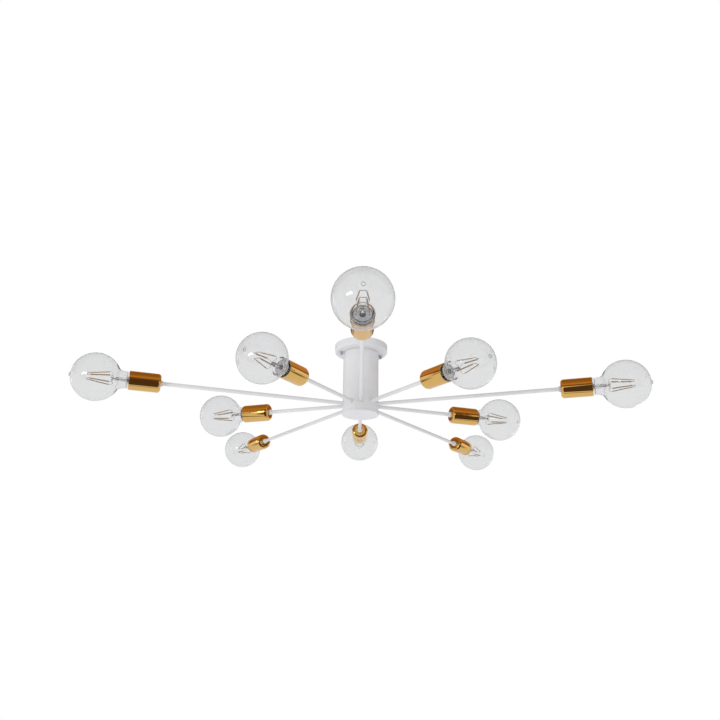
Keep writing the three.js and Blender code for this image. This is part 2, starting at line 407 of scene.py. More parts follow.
def filament_coat():
    """Amber phosphor on a light strip, slightly grainy."""
    made = new_material("filament_coat", Roughness=0.5)
    vary_colour(made, noise(made, 1500, detail=3), (0.44, 0.27, 0.125), (0.58, 0.375, 0.19))
    add_bump(made, 0.03, 0.5, 3000)
    return made


def terminal_plastic():
    """Cream moulded plastic."""
    made = new_material("terminal_plastic", Roughness=0.5)
    vary_colour(made, noise(made, 120), (0.68, 0.67, 0.62), (0.74, 0.73, 0.69))
    add_bump(made, 0.02, 0.3, 1600)
    return made


def sleeve(name, first, second):
    """Flexible insulation, slightly uneven along its length."""
    made = new_material(name, Roughness=0.5)
    vary_colour(made, noise(made, 150), first, second)
    vary_roughness(made, 0.42, 0.58, 600)
    return made


GLASS_TINT = (0.30, 0.31, 0.32)
GLASS_DENSITY = 15  # per metre


def blown_glass(name, shade):
    """Clear blown glass, barely wavy, each wall of which lets a share of the light through."""
    made = new_material(name, Base_Color=(*shade, 1), Transmission_Weight=1.0, Roughness=0.0, IOR=1.5)
    add_bump(made, 0.03, 0.5, 45, detail=1)
    tree = made.node_tree
    tint = add_node(tree, "VolumeAbsorption", {"Color": (*GLASS_TINT, 1), "Density": GLASS_DENSITY})
    tree.links.new(tint.outputs[0], tree.nodes["Material Output"].inputs["Volume"])
    return made


def aluminium():
    """Matt rolled aluminium."""
    made = new_material("aluminium", Metallic=0.5, Roughness=0.35)
    vary_colour(made, noise(made, 90, detail=3), (0.68, 0.69, 0.71), (0.78, 0.79, 0.81))
    vary_roughness(made, 0.28, 0.4, 400)
    return made


def pale_floor():
    """Matt pale studio floor, lit evenly from within."""
    glow = {"Emission_Color": (1, 1, 1, 1), "Emission_Strength": FLOOR_GLOW}
    made = new_material("pale_floor", Roughness=0.9, **glow)
    texture = add_node(made.node_tree, "TexNoise", {"Scale": 3})
    vary_colour(made, texture.outputs["Fac"], (0.88, 0.88, 0.88), (0.90, 0.90, 0.90))
    return made


# ---- Shapes ----
def rounded(corners, steps):
    """The outline through corners (x, y) and (x, y, fillet), of which the latter are rounded."""
    outline = []
    for i, (x, y, *fillet) in enumerate(corners):
        corner = Vector((x, y))
        if not fillet:
            outline.append(corner)
            continue
        radius = fillet[0]
        back = (Vector(corners[i - 1][:2]) - corner).normalized()
        ahead = (Vector(corners[(i + 1) % len(corners)][:2]) - corner).normalized()
        half = back.angle(ahead) / 2
        centre = corner + (back + ahead).normalized() * (radius / math.sin(half))
        start, end = [corner + way * (radius / math.tan(half)) - centre for way in (back, ahead)]
        first = math.atan2(start.y, start.x)
        sweep = math.remainder(math.atan2(end.y, end.x) - first, FULL_TURN)
        outline += arc(centre, radius, first, first + sweep, steps)
    return outline


def arc(centre, radius, start, end, steps):
    """Points on an arc, both ends included. Angles are in radians."""
    angles = [start + (end - start) * step / steps for step in range(steps + 1)]
    return [Vector(centre) + radius * Vector((math.cos(a), math.sin(a))) for a in angles]


def add_band(shape, ring, after):
    """Faces between two rings of vertices, either of which may be a single pole."""
    count = max(len(ring), len(after))
    for step in range(count if count > 1 else 0):
        nearby = (step + 1) % count
        corners = [ring[step % len(ring)], ring[nearby % len(ring)]]
        corners += [after[nearby % len(after)], after[step % len(after)]]
        shape.faces.new(dict.fromkeys(corners))


def turned(outline, segments, radius_at=None):
    """A surface turned about Y. An outline that starts and ends on the axis has two poles, and any
    other is closed on itself. radius_at gives a radius that changes round the axis."""
    shape = bmesh.new()
    rings = []
    for radius, along in outline:
        ring = []
        for step in range(segments if radius > 1e-6 else 1):
            angle = FULL_TURN * step / segments
            reach = radius_at(radius, along, angle) if radius_at and radius > 1e-6 else radius
            ring.append(shape.verts.new((reach * math.cos(angle), along, -reach * math.sin(angle))))
        rings.append(ring)
    on_axis = len(rings[0]) == 1 and len(rings[-1]) == 1
    for i, ring in enumerate(rings[:-1] if on_axis else rings):
        add_band(shape, ring, rings[(i + 1) % len(rings)])
    return shape


def lathe(corners, segments, steps=3):
    """A turned piece with rounded corners."""
    return turned(rounded(corners, steps), segments)


def pipe(bore, radius, low, high, edge, segments):
    """A tube about Y with rounded ends."""
    places = [(bore, low), (radius, low), (radius, high), (bore, high)]
    return lathe([(*place, edge) for place in places], segments)


def bar(radius, low, high, segments=32):
    """A round bar about Y, for drilling."""
    return turned([(0, low), (radius, low), (radius, high), (0, high)], segments)


def swept(path, section, scales=None):
    """A closed solid with a section of (across, up) points carried along a path, and scaled if asked."""
    shape = bmesh.new()
    rings = []
    up = Vector((0, 0, 1))
    for i, point in enumerate(path):
        along = (path[min(i + 1, len(path) - 1)] - path[max(i - 1, 0)]).normalized()
        if abs(along.dot(up)) > 0.99:
            up = Vector((0, 1, 0)) if abs(along.y) < 0.9 else Vector((1, 0, 0))
        across = along.cross(up).normalized()
        up = across.cross(along).normalized()
        size = scales[i] if scales else 1
        rings.append([shape.verts.new(point + across * (x * size) + up * (y * size)) for x, y in section])
    for ring, after in zip(rings, rings[1:]):
        add_band(shape, ring, after)
    shape.faces.new(rings[0])
    shape.faces.new(rings[-1])
    return shape


def circle(radius, sides, stretch=1):
    """A round section for swept(), or an oval one that is so many times as tall as it is wide."""
    angles = [FULL_TURN * step / sides for step in range(sides)]
    return [(radius * math.cos(a), radius * stretch * math.sin(a)) for a in angles]


def bent(corners, bend, steps=6):
    """A path through corners in space, each rounded by the same bend radius."""
    path = [Vector(corners[0])]
    for before, corner, after in zip(corners, corners[1:], corners[2:]):
        corner = Vector(corner)
        back = (Vector(before) - corner).normalized()
        ahead = (Vector(after) - corner).normalized()
        half = back.angle(ahead) / 2
        if half > math.pi / 2 - 0.01:
            path.append(corner)
            continue
        reach = bend / math.tan(half)
        start, end = corner + back * reach, corner + ahead * reach
        for step in range(steps + 1):
            t = step / steps
            path.append(start.lerp(corner, t).lerp(corner.lerp(end, t), t))
    path.append(Vector(corners[-1]))
    return path


def block(width, depth, height, centre):
    """A box about a centre."""
    shape = bmesh.new()
    size = Matrix.Diagonal((width, depth, height, 1))
    bmesh.ops.create_cube(shape, size=1, matrix=Matrix.Translation(centre) @ size)
    return shape


def plate(outline, low, high):
    """An outline in X and Y, as thick as from low to high."""
    shape = bmesh.new()
    face = shape.faces.new([shape.verts.new((x, y, low)) for x, y in outline])
    raised = bmesh.ops.extrude_face_region(shape, geom=[face])["geom"]
    top = [part for part in raised if isinstance(part, bmesh.types.BMVert)]
    bmesh.ops.translate(shape, verts=top, vec=(0, 0, high - low))
    return shape


def moved(shape, matrix):
    bmesh.ops.transform(shape, matrix=matrix, verts=shape.verts)
    return shape


def joined(shapes):
    """Separate solids in one mesh."""
    whole = bmesh.new()
    for shape in shapes:
        part = new_mesh("part", shape)
        whole.from_mesh(part)
        bpy.data.meshes.remove(part)
    return whole


def passing_object(shape):
    """The shape as an object in the scene, for a modifier."""
    bmesh.ops.recalc_face_normals(shape, faces=shape.faces)
    return new_object("passing", new_mesh("passing", shape))


def applied(shape, kind, **settings):
    """The shape after a modifier."""
    passing = passing_object(shape)
    modifier = passing.modifiers.new("change", kind)
    for name, value in settings.items():
        setattr(modifier, name, value)
    made = bmesh.new()
    made.from_mesh(passing.evaluated_get(bpy.context.evaluated_depsgraph_get()).to_mesh())
    bpy.data.objects.remove(passing)
    return made


def drilled(shape, *cutters):
    """The shape with the cutters taken out of it."""
    cutter = passing_object(joined(cutters))
    made = applied(shape, "BOOLEAN", operation="DIFFERENCE", solver="EXACT", object=cutter)
    bpy.data.objects.remove(cutter)
    return made


def softened(shape, width, sharp=30):
    """The shape with a small bevel on its edges that are sharper than an angle in degrees."""
    limit = math.radians(sharp)
    return applied(shape, "BEVEL", width=width, segments=2, limit_method="ANGLE", angle_limit=limit)


SHARP = 38  # in degrees, the angle from which an edge stays sharp
GLASS_SHARP = 60


def finished(name, shape, material, sharp=SHARP):
    """A mesh in metres, smooth but for its sharp edges, which remembers each point's own place."""
    bmesh.ops.recalc_face_normals(shape, faces=shape.faces)
    bmesh.ops.scale(shape, vec=(MM, MM, MM), verts=shape.verts)
    data = new_mesh(name, shape)
    data.shade_smooth()
    data.set_sharp_from_angle(angle=math.radians(sharp))
    places = data.attributes.new("own_place", "FLOAT_VECTOR", "POINT")
    places.data.foreach_set("vector", [number for vertex in data.vertices for number in vertex.co])
    data.materials.append(material)
    return data


def add_piece(name, data, place, body, node=None):
    """Puts a mesh in the scene as a piece of the object, which may stand for a CAD node."""
    piece = new_object(name, data)
    piece.matrix_world = place
    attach(piece, body)
    if node:
        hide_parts(node)


# ---- Arm pieces, in an arm's frame: Y outward from the lamp's centre ----
CUP_BACK, CUP_RIM = span_of("socket_cup_01", FIRST)
HOLDER_BACK, HOLDER_FRONT = span_of("lampholder_01", FIRST)
SHELL_FOOT, SHELL_TOP = span_of("lamp_cap_01", FIRST)
CUP_RADIUS = half_size("socket_cup_01", Z)
HOLDER_RADIUS = half_size("lampholder_01", Z)
SHELL_RADIUS = half_size("lamp_cap_01", Z)
GLOBE_RADIUS = half_size("lamp_globe_01", Z)

ROD_RADIUS = 4.0
ROD_BORE = 3.0
COLLAR_RADIUS = 6.0
COLLAR_LENGTH = 4.5
CUP_EDGE = 6.0
CUP_WALL = 1.2
HOLDER_BORE = 13.9
HOLDER_FLOOR = -95.0

THREAD_PITCH = 25.4 / 7
THREAD_DEPTH = 0.85
THREAD_TOP = -71.5  # where the lamp's thread starts, below the plain skirt
THREAD_FOOT = -86.5
SLEEVE_FRONT = -69.4
SLEEVE_BACK = -94.6
SLEEVE_CLEARANCE = 0.45  # between the two threads

GLASS_WALL = 0.8
NECK_WALL = 1.8
NECK_LEVEL = -50.0  # below this the glass is at its thickest
BALL_LEVEL = -36.0  # above this it is at its thinnest
NECK_RADIUS = 17.6
NECK_FILLET = 10.0
PIP_RADIUS = 3.0
PIP_HEIGHT = 2.2
PIP_WIDTH = 0.8


def arm_tube(arm):
    start, end = span_of(f"arm_rod_{arm['label']}", arm)
    return pipe(ROD_BORE, ROD_RADIUS, start, end, 0.25, 40)


def arm_collar():
    """The white ring where an arm enters its cup, with a fine groove round it."""
    front = CUP_BACK - 0.15
    back = front - COLLAR_LENGTH
    bore = ROD_RADIUS + 0.05
    groove = (front + back) / 2
    corners = [
        (bore, front), (COLLAR_RADIUS, front, 0.25),
        (COLLAR_RADIUS, groove + 0.5, 0.1), (COLLAR_RADIUS - 0.35, groove + 0.3, 0.1),
        (COLLAR_RADIUS - 0.35, groove - 0.3, 0.1), (COLLAR_RADIUS, groove - 0.5, 0.1),
        (COLLAR_RADIUS, back, 0.45), (bore, back),
    ]
    return lathe(corners, 48)


def gold_cup():
    inner = CUP_RADIUS - CUP_WALL
    hole = ROD_RADIUS + 0.5
    rim_edge = CUP_WALL / 2 - 0.05
    corners = [
        (hole, CUP_BACK, 0.3), (CUP_RADIUS, CUP_BACK, CUP_EDGE),
        (CUP_RADIUS, CUP_RIM, rim_edge), (inner, CUP_RIM, rim_edge),
        (inner, CUP_BACK + CUP_WALL, CUP_EDGE - CUP_WALL), (hole, CUP_BACK + CUP_WALL, 0.3),
    ]
    return lathe(corners, 96, 8)


def holder_body():
    """The lampholder, with a stepped front lip."""
    lip = HOLDER_FRONT - 1.4
    corners = [
        (0, HOLDER_BACK), (HOLDER_RADIUS - 6, HOLDER_BACK, 1),
        (HOLDER_RADIUS, HOLDER_BACK + 8, 1.5), (HOLDER_RADIUS, lip, 0.4),
        (HOLDER_RADIUS - 0.9, lip, 0.2), (HOLDER_RADIUS - 0.9, HOLDER_FRONT, 0.4),
        (HOLDER_BORE, HOLDER_FRONT, 0.5), (HOLDER_BORE, HOLDER_FLOOR, 0.6),
        (0, HOLDER_FLOOR),
    ]
    return lathe(corners, 72, 4)


def holder_ring():
    """The bright lining of the cup's mouth, with a flange over the front of the lampholder."""
    front = CUP_RIM - 0.4
    outer = CUP_RADIUS - CUP_WALL - 0.1
    inner = HOLDER_BORE + 0.9
    back = HOLDER_FRONT + 0.1
    corners = [
        (inner, back, 0.15), (outer, back, 0.15),
        (outer, front, 0.2), (outer - 0.6, front, 0.2),
        (outer - 0.6, back + 0.5, 0.3), (inner, back + 0.5, 0.15),
    ]
    return lathe(corners, 72)


def thread_wave(along, angle, top, foot):
    """From -1 to 1 along a right-handed thread, fading to 1 at both ends."""
    fade = THREAD_PITCH / 2
    inside = min(1, max(0, min(top - along, along - foot) / fade))
    wave = math.cos(FULL_TURN * along / THREAD_PITCH - angle)
    return inside * wave + (1 - inside)


def rows(first, last, spacing):
    """Places from first to last, about a spacing apart."""
    count = max(1, round(abs(last - first) / spacing))
    return [first + (last - first) * step / count for step in range(count + 1)]


THREAD_ROW = THREAD_PITCH / 10
THREAD_SEGMENTS = 48


def screw_shell():
    """The lamp's metal cap: a plain skirt, a rolled thread and a tapered foot."""
    wall = 0.35
    skirt_top = SHELL_TOP + 0.9
    foot = SHELL_FOOT + 3.4
    crest, root = SHELL_RADIUS, SHELL_RADIUS - THREAD_DEPTH
    bore = root - wall - 0.1

    def radius_at(radius, along, angle):
        if radius < root or not THREAD_FOOT < along < THREAD_TOP:
            return radius
        wave = thread_wave(along, angle, THREAD_TOP, THREAD_FOOT)
        return (crest + root) / 2 + wave * THREAD_DEPTH / 2

    taper = [(crest, THREAD_FOOT), (crest - 0.6, THREAD_FOOT - 1.1, 0.5), (10.4, foot, 0.5), (9.2, foot)]
    outline = [
        (crest, skirt_top),
        *[(crest, level) for level in rows(THREAD_TOP, THREAD_FOOT, THREAD_ROW)],
        *rounded(taper, 3)[1:],
        (9.2, foot + wall),
        (10.2, foot + wall),
        (bore, THREAD_FOOT),
        (bore, THREAD_TOP),
        (crest - wall, THREAD_TOP + 1),
        (crest - wall, skirt_top),
    ]
    return turned(outline, THREAD_SEGMENTS, radius_at)


def holder_sleeve():
    """The threaded metal sleeve in the lampholder, in step with the lamp's thread."""
    middle = SHELL_RADIUS - THREAD_DEPTH / 2 + SLEEVE_CLEARANCE
    outside = HOLDER_BORE - 0.08

    def radius_at(radius, along, angle):
        if radius > middle + THREAD_DEPTH / 2:
            return radius
        return middle + thread_wave(along, angle, SLEEVE_FRONT, SLEEVE_BACK) * THREAD_DEPTH / 2

    inside = [(middle, level) for level in rows(SLEEVE_BACK, SLEEVE_FRONT, THREAD_ROW)]
    return turned([*inside, (outside, SLEEVE_FRONT), (outside, SLEEVE_BACK)], THREAD_SEGMENTS, radius_at)


def holder_contact():
    """The sprung strip at the bottom of the lampholder."""
    seat = HOLDER_FLOOR + 0.35
    tip = SHELL_FOOT - 0.35
    path = bent([(11, seat, 0), (4, seat, 0), (1.5, tip, 0), (-2.5, tip, 0), (-4, tip - 0.7, 0)], 0.8, 4)
    section = [(2.8, 0.2), (-2.8, 0.2), (-2.8, -0.2), (2.8, -0.2)]
    return softened(swept(path, section), 0.12)


def lamp_insulator():
    """The black glass foot of the lamp's cap."""
    back = SHELL_FOOT + 1.0
    front = SHELL_FOOT + 3.7
    corners = [(0, front), (9.1, front, 0.2), (9.1, front - 0.8, 0.4), (5.4, back, 0.6), (0, back)]
    return lathe(corners, 48, 4)


def lamp_foot():
    """The soldered contact at the lamp's foot."""
    base = SHELL_FOOT + 1.1
    corners = [(0, base), (4.5, base, 0.1), (4.2, SHELL_FOOT, 0.7), (0, SHELL_FOOT)]
    return lathe(corners, 40, 4)


def glass_side():
    """The lamp's outline from its neck end to its crown."""
    turn_x = NECK_RADIUS + NECK_FILLET
    turn_y = -math.sqrt((GLOBE_RADIUS + NECK_FILLET) ** 2 - turn_x**2)
    meets = math.atan2(turn_y, turn_x)
    end = SHELL_RADIUS - 0.9
    shoulder = (NECK_RADIUS - 1.1, CUP_RIM - 1.6, 2.4)
    corners = [(end, SHELL_TOP - 1.2), (end, SHELL_TOP + 0.6, 0.8), shoulder, (NECK_RADIUS, turn_y)]
    neck = rounded(corners, 6)
    fillet = arc((turn_x, turn_y), NECK_FILLET, math.pi, math.pi + meets, 12)
    tip = 2 * PIP_RADIUS
    ball = [point for point in arc((0, 0), GLOBE_RADIUS, meets, math.pi / 2, 56) if point.x > tip]
    crown = [Vector((x, math.sqrt(GLOBE_RADIUS**2 - x**2) + pip_height(x))) for x in rows(tip, 0, 0.3)]
    return neck[:-1] + fillet + ball[1:] + crown


def pip_height(radius):
    """How far the sealed tip at the crown stands proud, at a distance from the axis."""
    return PIP_HEIGHT * math.exp(-(((radius - PIP_RADIUS) / PIP_WIDTH) ** 2))


def glass_wall(along):
    """The glass is thin in the ball and thicker in the neck."""
    share = min(1, max(0, (along - NECK_LEVEL) / (BALL_LEVEL - NECK_LEVEL)))
    return NECK_WALL + (GLASS_WALL - NECK_WALL) * share


def lamp_glass():
    outside = glass_side()
    inside = [outside[0] - Vector((NECK_WALL, 0))]
    for before, point, after in zip(outside, outside[1:], outside[2:]):
        along = (after - before).normalized()
        inside.append(point + Vector((-along.y, along.x)) * glass_wall(point.y))
    inside.append(outside[-1] - Vector((0, GLASS_WALL)))
    return turned([*outside, *reversed(inside)], 72)


STEM_RADIUS = 4.8
STEM_TOP = -30.0
STEM_BASE = -60.0
FLARE_RADIUS = 12.2
FLARE_LEVEL = -64.5
PRESS_SQUEEZE = 0.55


def lamp_stem():
    """The glass stem: a flare across the neck, a tube, and a pressed top that holds the wires."""
    bore = STEM_RADIUS - 0.9
    corners = [
        (0, STEM_TOP - 8), (bore, STEM_TOP - 9, 1.0),
        (bore, STEM_BASE - 0.6, 1.6), (FLARE_RADIUS - 1.6, FLARE_LEVEL, 0.3),
        (FLARE_RADIUS, FLARE_LEVEL, 0.3), (FLARE_RADIUS - 0.2, FLARE_LEVEL + 1.0, 0.3),
        (STEM_RADIUS, STEM_BASE, 2.5), (STEM_RADIUS, STEM_TOP - 2.5, 1.5),
        (STEM_RADIUS - 1.6, STEM_TOP, 1.0), (0, STEM_TOP),
    ]

    def radius_at(radius, along, angle):
        pressed = min(1, max(0, (along - STEM_TOP + 12) / 8))
        return radius * (1 - pressed * PRESS_SQUEEZE * math.sin(angle) ** 2)

    return turned(rounded(corners, 4), 40, radius_at)


SHIELD_RADIUS = 14.6
SHIELD_LEVEL = -58.4
SHIELD_HOLE = 5.4
WIRE_HOLE_RADIUS = 1.1
WIRE_HOLE_PLACE = 10.8


def heat_shield():
    """The thin metal disc round the stem, dished, with a rolled edge and two wire holes."""
    low, high = SHIELD_LEVEL, SHIELD_LEVEL + 0.35
    corners = [
        (SHIELD_HOLE, low + 1.2), (SHIELD_HOLE + 1.4, low + 1.2, 0.5),
        (SHIELD_HOLE + 2.6, low, 0.5), (SHIELD_RADIUS, low, 0.3),
        (SHIELD_RADIUS, high + 0.9, 0.15), (SHIELD_RADIUS - 0.35, high + 0.9, 0.15),
        (SHIELD_RADIUS - 0.35, high, 0.3), (SHIELD_HOLE + 2.8, high, 0.5),
        (SHIELD_HOLE + 1.6, high + 1.2, 0.5), (SHIELD_HOLE, high + 1.2),
    ]
    places = [Matrix.Translation((side * WIRE_HOLE_PLACE, 0, 0)) for side in (-1, 1)]
    holes = [moved(bar(WIRE_HOLE_RADIUS, low - 1, high + 1, 20), place) for place in places]
    return drilled(lathe(corners, 64, 4), *holes)


FILAMENT_COUNT = 4
FILAMENT_BASE = Vector((14.5, -28.0, 0))
FILAMENT_CROWN = Vector((7.5, 14.0, 0))
FILAMENT_WAY = (FILAMENT_CROWN - FILAMENT_BASE).normalized()
FILAMENT_WIDTH = 2.6
FILAMENT_THICKNESS = 1.6
TAB = 2.2
SUPPLY_WIRE_RADIUS = 0.5
SUPPLY_WIRE_END = -70.0  # inside the lamp's cap


def filament_turn(index):
    return Matrix.Rotation(FULL_TURN * (index + 0.5) / FILAMENT_COUNT, 4, "Y")


def lamp_filaments():
    """Four light strips in a cone, wider at the base, with rounded ends."""
    length = (FILAMENT_CROWN - FILAMENT_BASE).length
    scales, insets = (0.25, 0.7, 1.0), (TAB, TAB + 0.35, TAB + 0.9)
    reaches = [*insets, *[length - inset for inset in reversed(insets)]]
    path = [FILAMENT_BASE + FILAMENT_WAY * reach for reach in reaches]
    section = circle(FILAMENT_THICKNESS / 2, 12, FILAMENT_WIDTH / FILAMENT_THICKNESS)
    strips = [swept(path, section, [*scales, *reversed(scales)]) for _ in range(FILAMENT_COUNT)]
    return joined([moved(strip, filament_turn(index)) for index, strip in enumerate(strips)])


def lamp_wires():
    """Supply wires up the stem, leads to each strip, and the bridges between strips at the crown."""
    lead_wire = circle(0.3, 8)
    bridge_wire = circle(0.5, 8)
    supply_wire = circle(SUPPLY_WIRE_RADIUS, 8)
    parts = []
    for side in (-1, 1):
        near, apart = side * 1.6, side * 2.7
        route = [
            (near, STEM_TOP - 3, 0), (near, STEM_TOP - 12, 0),
            (apart, STEM_TOP - 20, 0), (apart, SUPPLY_WIRE_END, 0),
        ]
        parts.append(swept(bent(route, 2.5, 4), supply_wire))
    lead = [
        (1.6, STEM_TOP - 3, 0), (2.2, STEM_TOP + 2.2, 0),
        (10.5, STEM_TOP - 2.5, 0),
        FILAMENT_BASE - Vector((0.4, 1.2, 0)),
        FILAMENT_BASE + FILAMENT_WAY * TAB,
    ]
    for index in range(FILAMENT_COUNT):
        parts.append(moved(swept(bent(lead, 0.9, 4), lead_wire), filament_turn(index)))
    crown, rise = FILAMENT_CROWN - FILAMENT_WAY * TAB, Vector((0, 2 * TAB, 0))
    for index in range(0, FILAMENT_COUNT, 2):
        first, second = [filament_turn(strip) @ crown for strip in (index, index + 1)]
        parts.append(swept(bent([first, first + rise, second + rise, second], 1.8, 5), bridge_wire))
    return joined(parts)


# ---- Centre pieces, drawn about Y and stood upright ----
CANOPY_RADIUS = half_size("canopy", X)
CANOPY_LOW, CANOPY_TOP = level_of("canopy")
COLUMN_RADIUS = half_size("column", X)
COLUMN_LOW, COLUMN_TOP = level_of("column")
CAP_RADIUS = half_size("bottom_cap", X)
CAP_LOW, CAP_HIGH = level_of("bottom_cap")
HUB_RADIUS = half_size("arm_hub", X)
HUB_LOW, HUB_TOP = level_of("arm_hub")
NUT_LOW, NUT_TOP = level_of("canopy_nut_right")
STRAP_LOW, STRAP_TOP = level_of("ceiling_strap")
NIPPLE_LOW, NIPPLE_TOP = level_of("column_nipple")

SHEET = 1.2
CANOPY_EDGE = 4.0
CENTRE_HOLE = 6.2
ROD_HOLE = 4.12
CAP_LIP = 4.0
CAP_SKIRT_RADIUS = COLUMN_RADIUS - SHEET - 0.6
HUB_BORE = 28.0
STUD_RADIUS = 2.0
STUD_PITCH = 0.7
STUD_DEPTH = 0.3
NUT_FLATS = 7.0
NUT_HEX = 3.2
STRAP_LENGTH = 104.0
STRAP_WIDTH = 24.0
STRAP_THICKNESS = 2.0
SLOT_PLACE = 24.0
SLOT_LENGTH = 14.0
SLOT_WIDTH = 4.5
NIPPLE_RADIUS = 5.0
NIPPLE_BORE = 3.6
NIPPLE_FLATS = 17.0
NIPPLE_HEAD = 4.0


def centre_of(node):
    low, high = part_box(node)
    return (low + high) / 2 / MM


NUT_PLACES = {side: centre_of(f"canopy_nut_{side}") for side in ("right", "left")}


def rod_drills(inner, outer):
    """A bar for each arm's hole, as drawn about Y."""
    level = Matrix.Translation((0, 0, ARM_PLANE))
    turns = [UPRIGHT.inverted() @ level @ arm["place"].to_3x3().to_4x4() for arm in ARMS]
    return [moved(bar(ROD_HOLE, inner, outer), turn) for turn in turns]


def canopy_shell():
    inner = CANOPY_RADIUS - SHEET
    corners = [
        (CENTRE_HOLE, CANOPY_LOW, 0.2), (CANOPY_RADIUS, CANOPY_LOW, CANOPY_EDGE),
        (CANOPY_RADIUS, CANOPY_TOP, 0.4), (inner, CANOPY_TOP, 0.4),
        (inner, CANOPY_LOW + SHEET, CANOPY_EDGE - SHEET),
        (CENTRE_HOLE, CANOPY_LOW + SHEET, 0.2),
    ]
    places = [Matrix.Translation((place.x, 0, -place.y)) for place in NUT_PLACES.values()]
    holes = [moved(bar(STUD_RADIUS + 0.5, CANOPY_LOW - 3, CANOPY_LOW + 8), place) for place in places]
    return drilled(lathe(corners, 144, 8), *holes)


def column_tube():
    inner = COLUMN_RADIUS - SHEET
    corners = [
        (CENTRE_HOLE, COLUMN_TOP, 0.2), (CENTRE_HOLE, COLUMN_TOP - SHEET, 0.2),
        (inner, COLUMN_TOP - SHEET, 0.4), (inner, COLUMN_LOW, 0.3),
        (COLUMN_RADIUS, COLUMN_LOW, 0.3), (COLUMN_RADIUS, ARM_PLANE - 7),
        (COLUMN_RADIUS, ARM_PLANE + 7), (COLUMN_RADIUS, COLUMN_TOP, 0.6),
    ]
    return drilled(lathe(corners, 160, 4), *rod_drills(COLUMN_RADIUS - 8, COLUMN_RADIUS + 3))


def column_cap():
    lip_top = CAP_LOW + CAP_LIP
    inner = CAP_SKIRT_RADIUS - SHEET
    corners = [
        (0, lip_top), (inner, lip_top, 0.4),
        (inner, CAP_HIGH, 0.3), (CAP_SKIRT_RADIUS, CAP_HIGH, 0.3),
        (CAP_SKIRT_RADIUS, lip_top, 0.2), (CAP_RADIUS, lip_top, 0.4),
        (CAP_RADIUS, CAP_LOW, 1.0), (0, CAP_LOW),
    ]
    return lathe(corners, 144, 5)


def hub_ring():
    ring = pipe(HUB_BORE, HUB_RADIUS, HUB_LOW, HUB_TOP, 0.6, 120)
    return drilled(ring, *rod_drills(HUB_BORE - 4, HUB_RADIUS + 3))


def hex_radius(flats, angle):
    """How far a hexagon reaches from its centre, at an angle."""
    sixth = math.pi / 3
    return flats / 2 / math.cos(angle % sixth - sixth / 2)


def chamfer(flat, corner, level, way, spacing):
    """Points of a hexagon's chamfer from its flats out to its corners, up or down from a level."""
    return [(x, level + way * (x - flat) * 0.5) for x in rows(flat + 0.1, corner, spacing)]


def groove_share(along, angle, pitch):
    """From 0 in the root of a right-handed machine thread to 1 on its crest."""
    return abs(2 * ((along / pitch - angle / FULL_TURN) % 1) - 1)


def dome_nut():
    """A cap nut: a chamfered hexagon with a domed end and a blind bore."""
    flat = NUT_FLATS / 2
    dome = flat - 0.2
    seat = NUT_TOP - NUT_HEX
    corner = NUT_FLATS / math.sqrt(3)
    bore = STUD_RADIUS + 0.15

    def radius_at(radius, along, angle):
        if radius <= flat or along < seat - 0.3:
            return radius
        return min(radius, hex_radius(NUT_FLATS, angle))

    outline = [
        (0, NUT_LOW + 1.5),
        (bore, NUT_LOW + 1.9),
        (bore, NUT_TOP - 0.3),
        (bore + 0.3, NUT_TOP),
        (flat, NUT_TOP),
        *chamfer(flat, corner, NUT_TOP, -1, 0.1),
        *reversed(chamfer(flat, corner, seat, 1, 0.1)),
        (dome + 0.1, seat),
        (dome, seat - 0.15),
        *arc((0, NUT_LOW + dome), dome, 0, -math.pi / 2, 12)[:-1],
        (0, NUT_LOW),
    ]
    return turned(outline, 96, radius_at)


def canopy_stud():
    """A machine thread with chamfered ends."""
    low, high = STRAP_LOW, STRAP_TOP - 0.6

    def radius_at(_, along, angle):
        room = min(along - low, high - along) * 0.8
        return STUD_RADIUS - STUD_DEPTH + min(STUD_DEPTH * groove_share(along, angle, STUD_PITCH), room)

    side = [(STUD_RADIUS, level) for level in rows(low, high, STUD_PITCH / 6)]
    return turned([(0, low), *side, (0, high)], 28, radius_at)


def ceiling_plate():
    """The strap with rounded ends and two long slots, drawn level."""

    def panel(centre, length, width, edge):
        left, right, half = centre - length / 2, centre + length / 2, width / 2
        corners = [(left, -half, edge), (right, -half, edge), (right, half, edge), (left, half, edge)]
        return rounded(corners, 8)

    slots = [
        plate(panel(place, SLOT_LENGTH, SLOT_WIDTH, SLOT_WIDTH / 2 - 0.01), -STRAP_THICKNESS - 2, 2)
        for place in (-SLOT_PLACE, SLOT_PLACE)
    ]
    strap = plate(panel(0, STRAP_LENGTH, STRAP_WIDTH, 5), -STRAP_THICKNESS, 0)
    return softened(drilled(strap, *slots), 0.3, 50)


def hollow_nipple():
    """The threaded nipple with its hexagon head, bored for the cable."""
    seat = NIPPLE_TOP - NIPPLE_HEAD
    pitch, depth = 1.0, 0.4
    corner = NIPPLE_FLATS / math.sqrt(3)
    flat = NIPPLE_FLATS / 2

    def radius_at(radius, along, angle):
        if along > seat - 0.01 and radius > flat:
            return min(radius, hex_radius(NIPPLE_FLATS, angle))
        if along < seat - 0.01 and radius > NIPPLE_RADIUS - 0.01:
            return NIPPLE_RADIUS - depth * (1 - groove_share(along, angle, pitch))
        return radius

    outline = [
        (NIPPLE_BORE, NIPPLE_LOW),
        *[(NIPPLE_RADIUS, level) for level in rows(NIPPLE_LOW, seat - 0.4, pitch / 6)],
        (NIPPLE_RADIUS - 0.3, seat),
        (flat, seat),
        *chamfer(flat, corner, seat, 1, 0.2),
        *reversed(chamfer(flat, corner, NIPPLE_TOP, -1, 0.2)),
        (flat, NIPPLE_TOP),
        (NIPPLE_BORE + 0.4, NIPPLE_TOP),
        (NIPPLE_BORE, NIPPLE_TOP - 0.4),
    ]
    return turned(outline, 72, radius_at)


